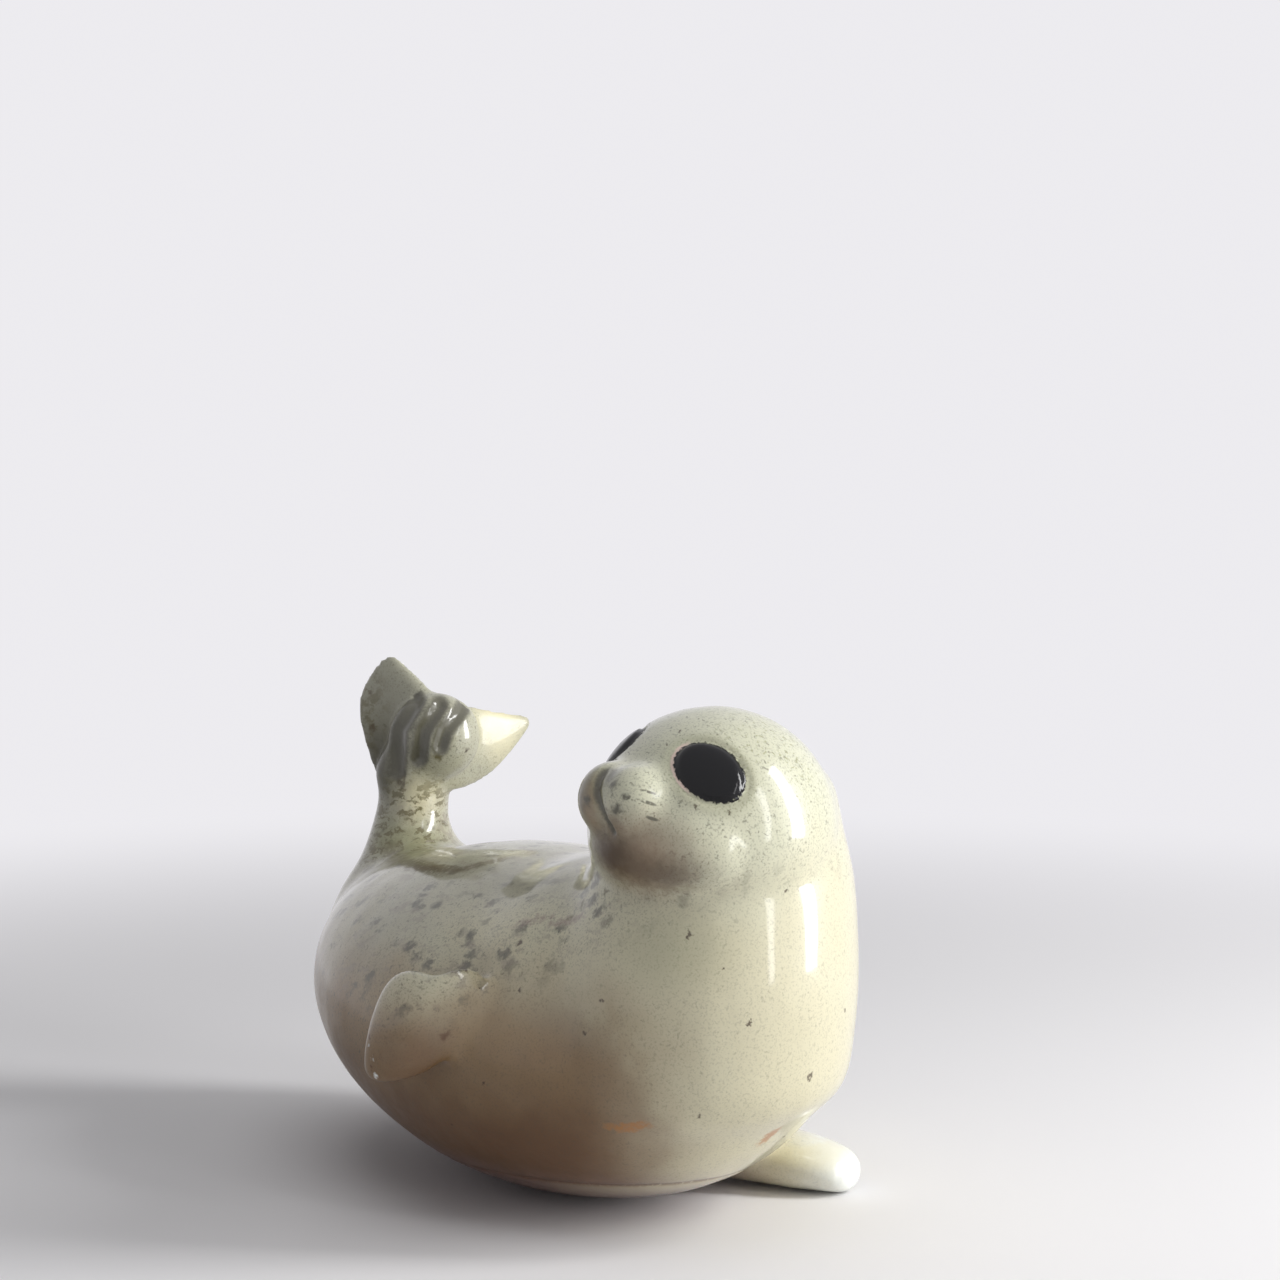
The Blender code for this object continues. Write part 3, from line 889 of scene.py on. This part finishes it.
class Glaze:
    """Speckled cream glaze, with browns and painted shade low on its shaded side, black eyes and painted
    marks.

    Its coordinates are in mm.
    """

    cream: Numbers = (0.61, 0.57, 0.40)
    green_cream: Numbers = (0.57, 0.57, 0.43)
    # Grey is partly painted shade, on the back and on the left fluke.
    grey_and_shade: Numbers = (0.26, 0.25, 0.19)
    # Ochre and umber also carry painted shade and painted reflection low on the shaded side.
    ochre_and_shade: Numbers = (0.26, 0.16, 0.07)
    umber_and_shade: Numbers = (0.115, 0.05, 0.02)
    violet: Numbers = (0.24, 0.15, 0.135)
    # Blush and russet are partly painted shade under the muzzle and jaw.
    blush_and_shade: Numbers = (0.34, 0.24, 0.155)
    russet_and_shade: Numbers = (0.075, 0.042, 0.016)
    bark: Numbers = (0.10, 0.072, 0.032)
    olive: Numbers = (0.12, 0.10, 0.035)
    moss: Numbers = (0.26, 0.26, 0.13)
    slate: Numbers = (0.08, 0.075, 0.05)
    pale: Numbers = (0.82, 0.85, 0.83)
    butter: Numbers = (0.70, 0.65, 0.44)
    rust: Numbers = (0.42, 0.17, 0.035)
    iron: Numbers = (0.05, 0.025, 0.012)
    black: Numbers = (0.004, 0.004, 0.005)
    shell: Numbers = (0.80, 0.62, 0.54)
    ash: Numbers = (0.24, 0.20, 0.16)

    lit_side: Numbers = (0.645, 0.764)
    seam_slope: float = 0.044

    # Each soft patch: its centre, radii, colour and how much it covers.
    patches: Sequence[tuple] = (
        # On the tail: the grey on the left fluke and the slate at its root are partly painted shade, and the
        # butter on the right fluke is partly painted light.
        ((-80, -6, 86), (18, 18, 11), moss, 0.75), ((-89, -8, 122), (17, 17, 24), grey_and_shade, 0.7),
        ((-90, -9, 108), (15, 13, 17), slate, 1), ((-66, -16, 86), (22, 12, 5), moss, 0.8),
        ((-74, 26, 123), (22, 14, 22), butter, 0.9), ((-80, -2, 99), (9, 11, 12), butter, 0.8),
        # Partly painted shade: the blush and bark on the far muzzle lobe, and the russet and blush under the
        # muzzle and the jaw.
        ((51, -41, 118), (8, 8, 11), moss, 0.8), ((49, -40, 113), (6, 8, 12), blush_and_shade, 0.8),
        ((46, -38, 116), (6, 9, 14), bark, 0.75), ((54, -37.5, 121.5), (4.5, 5, 4.5), slate, 0.8),
        # The umber on the right flipper's middle is partly painted shade.
        ((58, -40, 110), (7, 5, 5), russet_and_shade, 0.6), ((8, -66, 50), (22, 14, 20), umber_and_shade, 0.6),
        ((8, -22, 88), (42, 24, 14), grey_and_shade, 0.6), ((62, -35, 102), (24, 17, 16), blush_and_shade, 0.9),
        ((54, -38, 102), (15, 13, 11), russet_and_shade, 0.95), ((68, -32, 98), (19, 15, 7.5), russet_and_shade, 0.7),
        # The pale patch on the left flipper is partly painted light on a paler glaze.
        ((52, 46, 7), (26, 20, 16), pale, 1), ((66, -24, 78), (20, 24, 16), moss, 0.35),
    )
    # Each brush stroke: its start, end, width, colour and how much it covers.
    strokes: Sequence[tuple] = (
        ((-79, -13, 84.5), (-60, -21.4, 84), 7, olive, 0.85),
        ((-58, -22.5, 84), (-30, -28.5, 85.5), 6, olive, 1),
        ((-48, -26.5, 84.6), (-24.5, -26.5, 86.7), 4, bark, 0.9),
        ((-24.5, -26.5, 86.7), (-17.5, -17.9, 89.4), 4, bark, 0.75),
        ((-17.5, -17.9, 89.4), (-15.1, -5.8, 91.2), 4.5, bark, 0.4),
        ((-79.2, -7.6, 112), (-79.6, -7.9, 100), 2.6, bark, 0.8),
        ((20, -40, 80), (30, -36, 84), 3, violet, 0.6),
        ((30, -37, 81), (42, -34, 84), 2.6, violet, 0.6),
        ((54, -36.6, 33), (62, -33, 34), 3.4, rust, 0.75),
        ((69.5, 0, 26), (73.5, 1.5, 29.5), 3.6, rust, 0.85),
    )
    # Each painted spot: its centre, radius and colour.
    spots: Sequence[tuple] = (
        (-95.4, -8.2, 129.6, 1.5, bark), (-94.3, -7.4, 118.8, 1.9, bark),
        (-68.3, 8.1, 113.4, 1.3, iron), (-71, -0.5, 111.8, 2, olive),
        (-16.4, -40, 79.6, 2.8, slate), (-24.9, -41.2, 78.6, 2.2, slate),
        (3.8, -43.8, 74.9, 2.4, slate), (37.9, -33.4, 86.3, 2.2, olive),
        (34.5, -35.5, 84, 1.8, olive), (47.8, -34, 90.8, 1.7, olive),
        (16.5, -61.1, 53.2, 2.2, umber_and_shade), (57.7, -39.5, 119.6, 2.4, slate),
        (60, -40.3, 114, 2.2, slate), (62, -38.9, 117.2, 1.4, slate),
        # The pale dabs at the right flipper's tip below are painted glints on its nicks.
        (48.8, -40.9, 115, 2, slate), (1.5, -74, 49.9, 1, pale),
        (2.9, -74.3, 46.2, 1.2, pale), (2.1, -72.5, 41.5, 1, pale),
        (0.8, -73.6, 52.4, 1.3, umber_and_shade), (1.6, -73.6, 44, 1.1, umber_and_shade),
    )
    # Each iron speck: its centre and radius.
    flecks: Rows = (
        (19.2, -56.4, 69.7, 1.1), (19, -52.8, 64.5, 0.9), (28.8, -46.4, 64.7, 0.9),
        (23.4, -42.6, 75.5, 1.3), (49.8, -42.2, 56.8, 0.8), (54.8, -40.7, 65.5, 0.9),
        (72.9, -25, 37.3, 1.1), (83.3, 3.4, 44.7, 1.2), (82.4, -16.4, 61.2, 0.8),
        (72.2, -27.7, 83, 1), (82.3, -4.6, 92.6, 0.8), (78.6, -22.2, 75.1, 0.7),
        (82, 16.9, 59.3, 1), (58.9, -18.8, 131.5, 0.9), (58.5, -22.8, 129, 0.8),
        (75.8, -3.7, 126.4, 0.7), (72.9, -26.1, 114.5, 1), (78.2, -19.7, 113.5, 0.8),
        (22.7, -53.8, 40.7, 0.8),
    )
    # Each whisker: its start, end and width.
    whiskers: Sequence[tuple] = (
        ((64.2, -36, 118.7), (65.8, -32.9, 117.6), 0.7), ((64.4, -36.8, 116.3), (66.7, -33.1, 114.9), 0.9),
        ((66.7, -33, 114.9), (69.8, -29.4, 113.8), 0.4), ((65.7, -35.4, 112.1), (67.2, -33.3, 111.3), 0.9),
        ((42, -36, 118.7), (40.4, -32.9, 117.6), 0.7), ((41.8, -36.8, 116.3), (39.5, -33.1, 114.9), 0.8),
        ((40.5, -35.4, 112.1), (39, -33.3, 111.3), 0.8),
    )

    def __init__(self, head: Head) -> None:
        """Starts the glaze.

        Args:
            head: the head, whose eyes are painted black.
        """
        self.head = head
        self.bench = Bench(bpy.data.materials.new("speckled_cream_glaze"))
        bench = self.bench
        coordinates = bench.node("ShaderNodeTexCoord", {}, {}).outputs["Object"]
        self.place = bench.vector("MULTIPLY", coordinates, (MM_PER_METRE,) * 3)
        self.loose = bench.shaken(self.place, 0.5, 1)
        parts = bench.node("ShaderNodeSeparateXYZ", {}, {0: self.place}).outputs
        self.x, self.y, self.z = (Value(bench, parts[axis]) for axis in range(3))
        self.wander = bench.noise(self.place, 0.05, 3)
        self.ragged = bench.noise(self.place, 0.9, 3)
        towards = self.lit_side[0] * self.x + self.lit_side[1] * self.y
        self.aside = towards + 18 * (self.wander - 0.5)
        self.colour: object = self.cream

    def painted(self, name: str) -> Value:
        """Reads a share that was kept for each vertex."""
        return self.bench.value("ShaderNodeAttribute", {"attribute_name": name}, {}, 2)

    def lay(self, tone: Numbers, share: object) -> None:
        """Lays a colour over what is painted so far."""
        self.colour = self.bench.over(self.colour, tone, share)

    def ground(self) -> None:
        """Lays soft drifts in the ground colour, with painted shade on the back and flank, and painted shade
        and reflection low on the shaded side.
        """
        bench = self.bench
        drift = bench.noise(self.place, 0.022, 3, 0.6)
        self.lay(self.green_cream, (self.z / 140 + drift - 0.5).rise(0.35, 0.95))
        # Greyer on the upper back, partly painted shade.
        back = (self.z - 1.2 * self.x).rise(66, 108) * (0.7 + 0.3 * drift.rise(0.3, 0.6))
        self.lay(self.grey_and_shade, back * 0.6)
        # Painted shade and painted brown reflection over the glaze's own browns: ochre and umber low on the
        # side away from the light.
        level = self.z + 24 * (self.wander - 0.5)
        shaded_side = self.aside.rise(32, 0)
        self.lay(self.ochre_and_shade, level.rise(78, 48) * shaded_side * 0.92)
        self.lay(self.umber_and_shade, level.rise(54, 22) * self.aside.rise(36, -8) * 0.85)
        # Partly a painted shadow cast by the head onto the flank, partly brown glaze.
        brown_and_cast_shadow = bench.blob(self.loose, (40, -42, 50), (24, 20, 22)) * self.wander.rise(0.4, 0.6)
        self.lay(self.umber_and_shade, brown_and_cast_shadow * 0.4)
        edge = (self.z + 8 * (self.wander - 0.5)).rise(19, 7) * self.aside.rise(66, 26)
        self.lay(self.violet, edge * 0.8)

    def speckle(self) -> None:
        """Scatters pepper, leopard spots, ticks and iron specks."""
        bench = self.bench
        behind = (self.z - 0.6 * self.x).rise(40, 60)
        pepper = bench.noise(self.place, 1.9, 3).rise(0.50, 0.68)
        self.lay(self.slate, pepper * (0.20 + 0.16 * behind))
        grain, own = bench.cells(self.loose, 0.7)
        fleck = (grain + 0.4 * (self.ragged - 0.5)).rise(0.40, 0.12) * own.rise(0.35, 0.7)
        self.lay(self.slate, fleck * (0.22 + 0.3 * behind))
        band = self.z.rise(102, 94) * (self.z + 14 * (self.wander - 0.5)).rise(46, 64)
        coat = behind * band * bench.noise(self.place, 0.07, 2).rise(0.32, 0.5)
        flow = bench.drawn_out(self.loose, (0, 52, 0), (1, 1, 1.7))
        spot, pick = bench.cells(flow, 0.19)
        leopard = (spot + 0.35 * (self.ragged - 0.5)).rise(0.44, 0.16) * pick.rise(0.15, 0.5)
        self.lay(self.slate, leopard * coat * 0.85)
        streak = bench.drawn_out(self.loose, (0, 66, 0), (1, 1, 3.2))
        smear = bench.noise(streak, 0.34, 2).rise(0.52, 0.68)
        self.lay(self.ash, smear * coat * 0.5)
        line = bench.drawn_out(self.place, (0, 35, 0), (1, 1, 2.6))
        crown = bench.blob(self.place, (68, 6, 126), (28, 28, 20), 0.3)
        self.lay(self.moss, bench.noise(line, 0.9, 2).rise(0.56, 0.68) * crown * 0.7)
        speck, odd = bench.cells(self.place, 0.085)
        iron = (speck + 0.05 * self.ragged).rise(0.085, 0.05) * odd.rise(0.35, 0.4)
        self.lay(self.iron, iron * 0.85)

    def marks(self) -> None:
        """Paints the marks that have a place of their own."""
        bench = self.bench
        for centre, radii, tone, share in self.patches:
            self.lay(tone, bench.blob(self.loose, centre, radii, 0.1) * share)
        for start, end, width, tone, share in self.strokes:
            stroke = bench.dash(self.loose, start, end, width, 0.9) * self.ragged.rise(0.2, 0.55)
            self.lay(tone, stroke * share)
        thread = bench.drawn_out(self.loose, (0, 0, 0), (2.6, 2.6, 1.1))
        stem = bench.blob(self.place, (-82, -8, 93), (20, 22, 25), 0.6) * self.z.rise(112, 96)
        self.lay(self.olive, bench.noise(thread, 0.7, 3).rise(0.49, 0.6) * stem * 0.85)
        mottle = bench.noise(self.loose, 0.3, 3).rise(0.44, 0.6)
        edge = bench.blob(self.place, (-97, -9, 124), (11, 14, 19), 0.3)
        self.lay(self.olive, mottle * edge * 0.6)
        for *centre, size, tone in self.spots:
            self.lay(tone, bench.blob(self.loose, centre, (size,) * 3, 0.2) * 0.9)
        for *centre, size in self.flecks:
            self.lay(self.iron, bench.blob(self.loose, centre, (size,) * 3, 0.4) * 0.85)
        for start, end, width in self.whiskers:
            stroke = bench.dash(self.place, start, end, width, 0.7) * self.ragged.rise(0.3, 0.5)
            self.lay(self.slate, stroke * 0.85)
        level = self.z - self.seam_slope * self.x
        pale = level.rise(3, 9) * level.rise(11.6, 10.6) * self.aside.rise(-20, 20)
        self.lay(self.butter, pale * 0.4)
        self.lay(self.umber_and_shade, self.painted("seam") * self.ragged.rise(0.3, 0.5) * 0.8)
        brushed = (self.painted("paint") * (0.4 + 0.6 * self.ragged + 0.6 * self.wander)).rise(0.2, 0.75)
        self.lay(self.slate, brushed * 0.9)

    def eyes(self) -> Value:
        """Paints both eyes, each with a ragged edge and a thin bare rim.

        Returns:
            1 on an eye.
        """
        bench = self.bench
        edge = 0.22 * (bench.noise(self.place, 1.1, 4) - 0.5)
        masks = []
        length, width, _ = (size * MM_PER_METRE / 2 for size in self.head.eye_sizes)
        halves = (length, width, width)
        for side in Side:
            eye = self.head.eye(side)
            gap = bench.vector("SUBTRACT", self.place, tuple(eye.translation * MM_PER_METRE))
            axes = [tuple(column.xyz / half) for column, half in zip(eye.col, halves)]
            first, second, third = (bench.dot(gap, axis) for axis in axes)
            around = (first * first + second * second).root()
            front = third.rise(-0.8, -0.6)
            left = bench.dot(gap, (*(-share / 7 for share in self.lit_side), 0)).rise(0.55, 1)
            halo = around.rise(1.5, 1.05) * front
            self.lay(self.moss, halo * 0.3)
            self.lay(self.shell, (around + 0.4 * edge).rise(1.08, 1.02) * left * front * 0.9)
            masks.append((around + edge).rise(0.99, 0.94) * front)
        black = masks[0].most(masks[1])
        self.lay(self.black, black)
        return black

    def dress(self) -> bpy.types.Material:
        """Joins the glaze's layers in its shader.

        Returns:
            The material.
        """
        bench = self.bench
        shader = bench.tree.nodes["Principled BSDF"].inputs
        self.ground()
        self.speckle()
        self.marks()
        black = self.eyes()
        bench.feed(shader["Base Color"], self.colour)
        bench.feed(shader["Roughness"], 0.26 + 0.16 * bench.noise(self.place, 0.35, 3) - 0.2 * black)
        lobe = bench.blob(self.place, (-74, 28, 123), (24, 20, 26), 0.6)
        burnt = (self.z + 24 * (self.wander - 0.5)).rise(60, 30) * self.aside.rise(24, -10)
        chin = bench.blob(self.place, (58, -36, 100), (20, 16, 14), 0.2)
        stalk = bench.blob(self.place, (-92, -10, 112), (15, 16, 20), 0.4)
        bare = black.most(lobe * 0.75).most(burnt * 0.85).most(chin * 0.7).most(stalk * 0.8)
        bench.feed(shader["Coat Weight"], 0.85 - 0.85 * bare)
        bench.feed(shader["Coat Roughness"], 0.09)
        bench.feed(shader["Specular IOR Level"], 0.3)
        peel = bench.noise(self.place, 0.16, 2) * 0.35 + bench.noise(self.place, 1.1, 2) * 0.05
        bump = bench.node("ShaderNodeBump", {}, {"Strength": 1, "Distance": 0.0004, "Height": peel})
        bench.feed(shader["Normal"], bump.outputs[0])
        return bench.owner


@dataclass(frozen=True)
class Casting:
    """The whole figurine: its forms, how finely they are joined, its foot and its vent."""

    body: Body = field(default_factory=Body)
    head: Head = field(default_factory=Head)
    tail: Tail = field(default_factory=Tail)
    flippers: Flippers = field(default_factory=Flippers)
    body_voxel: float = 2.2 * MM
    body_sponging: int = 40
    pup_voxel: float = 1.2 * MM
    pup_sponging: int = 14
    skin_voxel: float = 1.04 * MM
    skin_sponging: int = 3
    vent_place: Numbers = in_mm(-9, 0)
    vent_diameter: float = 9 * MM
    vent_depth: float = 5.5 * MM
    vent_corners: int = 32
    waves: Numbers = in_mm(7, 7, 34)
    wave_depth: float = 0.12 * MM
    crease: float = 50.0

    def skin(self) -> Mesh:
        """Joins all forms.

        Returns:
            The skin, not yet cut flat.
        """
        body = Clay.fused("body", [*self.body.forms(), self.tail.root()], self.body_voxel, self.body_sponging)
        parts = [body, *self.head.forms(), *self.flippers.forms(), self.tail.root(), self.tail.knob()]
        pup = Clay.fused("pup", parts, self.pup_voxel, self.pup_sponging)
        left = self.tail.fluke(self.tail.left_fluke, Side.LEFT)
        right = self.tail.fluke(self.tail.right_fluke, Side.RIGHT)
        parts = [pup, left, right, *self.head.eyes()]
        return Clay.fused("seal_skin", parts, self.skin_voxel, self.skin_sponging)

    def stand(self, mesh: Mesh) -> None:
        """Cuts the foot flat at the ground.

        Args:
            mesh: the skin.
        """
        form = bmesh.new()
        form.from_mesh(mesh)
        everything = [*form.verts, *form.edges, *form.faces]
        ground = {"plane_co": (0, 0, 0), "plane_no": (0, 0, 1)}
        bmesh.ops.bisect_plane(form, geom=everything, clear_inner=True, **ground)
        rim = [edge for edge in form.edges if edge.is_boundary]
        for vert in {vert for edge in rim for vert in edge.verts}:
            vert.co.z = 0.0
        bmesh.ops.holes_fill(form, edges=rim, sides=0)
        bmesh.ops.recalc_face_normals(form, faces=form.faces)
        form.to_mesh(mesh)
        form.free()

    def pierce(self, mesh: Mesh) -> Mesh:
        """Sinks the vent into the foot.

        Args:
            mesh: the skin.

        Returns:
            The new skin.
        """
        radius = self.vent_diameter / 2
        form = bmesh.new()
        bmesh.ops.create_cone(
            form,
            cap_ends=True,
            segments=self.vent_corners,
            radius1=radius,
            radius2=radius,
            depth=2 * self.vent_depth,
            matrix=Matrix.Translation((*self.vent_place, 0)),
        )
        cutter = Clay.helper("vent", Clay.finished("vent", form))
        piece = Clay.helper("skin", mesh)
        cut = piece.modifiers.new("Vent", "BOOLEAN")
        cut.operation = "DIFFERENCE"
        cut.object = cutter
        made = Clay.applied(piece)
        bpy.data.objects.remove(cutter)
        return made

    def build(self) -> bpy.types.Object:
        """Builds and dresses the seal.

        Returns:
            The finished piece.
        """
        mesh = self.skin()
        surface = Surface(mesh)
        paint = np.maximum(self.head.press(surface), self.tail.press(surface))
        surface.keep("paint", paint)
        surface.keep("seam", self.body.press(surface))
        surface.uneven(self.waves, self.wave_depth)
        self.stand(mesh)
        mesh = self.pierce(mesh)
        mesh.materials.clear()
        mesh.materials.append(Glaze(self.head).dress())
        for face in mesh.polygons:
            face.material_index = 0
        mesh.shade_smooth()
        mesh.set_sharp_from_angle(angle=math.radians(self.crease))
        piece = Clay.helper("seal_skin", mesh)
        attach(piece, "root")
        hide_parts("seal")
        mesh.calc_loop_triangles()
        log.info("%s: %d triangles", piece.name, len(mesh.loop_triangles))
        return piece


class Lamp(Enum):
    """The studio's lamps.

    Each has its place, what it looks at, its width, height and power in watts, and if it shows in a gloss.
    """

    WINDOW = ((0.68, 0.62, 0.30), CHEST, 0.2, 1.2, 14.0, True)
    PANE = ((0.95, 0.20, 0.35), CHEST, 0.1, 0.9, 1.8, True)
    SIDE = ((0.85, 0.36, 0.40), CHEST, 0.5, 0.8, 0.8, False)
    OVERHEAD = ((0.10, -0.10, 1.10), (0.0, 0.0, 0.06), 0.9, 0.9, 3.0, False)


@dataclass(frozen=True)
class Studio:
    """A plain pale floor, soft lamps and the camera."""

    floor_radius: float = 8.0
    floor_corners: int = 96
    floor_roughness: float = 0.9
    floor_fade: Numbers = (0.22, 0.75)
    floor_colour: Numbers = (0.80, 0.79, 0.80)
    wall_colour: Numbers = (0.845, 0.835, 0.865)
    fill: float = 0.21
    fill_colour: Numbers = (0.97, 0.97, 1.0)
    camera_place: Numbers = (0.51875, -0.42008, 0.19775)
    camera_down: float = 4.065
    camera_turn: float = 49.831
    lens: float = 68.906
    sensor: float = 36.0
    nearest: float = 0.01

    def floor(self) -> None:
        """Lays the floor. Far out, where no shadow falls, the camera sees it as pale as the wall."""
        form = bmesh.new()
        outline = {"segments": self.floor_corners, "radius": self.floor_radius}
        bmesh.ops.create_circle(form, cap_ends=True, matrix=HERE, **outline)
        floor = Clay.helper("floor", Clay.finished("floor", form))
        bench = Bench(bpy.data.materials.new("plain_floor"))
        shader = bench.tree.nodes["Principled BSDF"]
        bench.feed(shader.inputs["Base Color"], (*self.floor_colour, 1))
        bench.feed(shader.inputs["Roughness"], self.floor_roughness)
        place = bench.node("ShaderNodeTexCoord", {}, {}).outputs["Object"]
        far = bench.length(place).rise(*self.floor_fade) * bench.seen()
        glow = bench.node("ShaderNodeEmission", {}, {"Color": (*self.wall_colour, 1)}).outputs[0]
        mixed = bench.node("ShaderNodeMixShader", {}, {0: far, 1: shader.outputs[0], 2: glow})
        bench.feed(bench.tree.nodes["Material Output"].inputs["Surface"], mixed.outputs[0])
        floor.data.materials.append(bench.owner)

    def world(self) -> None:
        """Fills the room with even pale light."""
        world = bpy.data.worlds.new("pale_room")
        bench = Bench(world)
        bench.tree.nodes.clear()
        light, wall = (
            bench.node("ShaderNodeBackground", {}, {0: (*colour, 1), 1: strength}).outputs[0]
            for colour, strength in ((self.fill_colour, self.fill), (self.wall_colour, 1.0))
        )
        mixed = bench.node("ShaderNodeMixShader", {}, {0: bench.seen(), 1: light, 2: wall})
        bench.node("ShaderNodeOutputWorld", {}, {0: mixed.outputs[0]})
        bpy.context.scene.world = world

    def lamps(self) -> None:
        """Sets up the soft lamps."""
        for lamp in Lamp:
            place, target, width, height, power, glossy = lamp.value
            light = bpy.data.lights.new(lamp.name.lower(), "AREA")
            light.shape = "RECTANGLE"
            light.size = width
            light.size_y = height
            light.energy = power
            holder = bpy.data.objects.new(light.name, light)
            holder.location = place
            holder.visible_glossy = glossy
            shaded_side = Vector(place) - Vector(target)
            holder.rotation_euler = shaded_side.to_track_quat("Z", "Y").to_euler()
            bpy.context.scene.collection.objects.link(holder)

    def camera(self) -> None:
        """Sets up the camera."""
        lens = bpy.data.cameras.new("camera")
        lens.sensor_width = self.sensor
        lens.lens = self.lens
        lens.clip_start = self.nearest
        holder = bpy.data.objects.new("camera", lens)
        holder.location = self.camera_place
        angles = (90.0 - self.camera_down, 0.0, self.camera_turn)
        holder.rotation_euler = Euler([math.radians(angle) for angle in angles])
        bpy.context.scene.collection.objects.link(holder)
        bpy.context.scene.camera = holder

    def build(self) -> None:
        """Builds the studio."""
        self.floor()
        self.world()
        self.lamps()
        self.camera()
        bpy.context.scene.view_settings.view_transform = "Standard"
        log.info("studio: floor, %d lamps and camera", len(Lamp))


def main() -> None:
    """Builds the studio and the seal."""
    logging.basicConfig(level=logging.INFO, format="%(name)s: %(message)s")
    Studio().build()
    Casting().build()


if __name__ == "__main__":
    main()
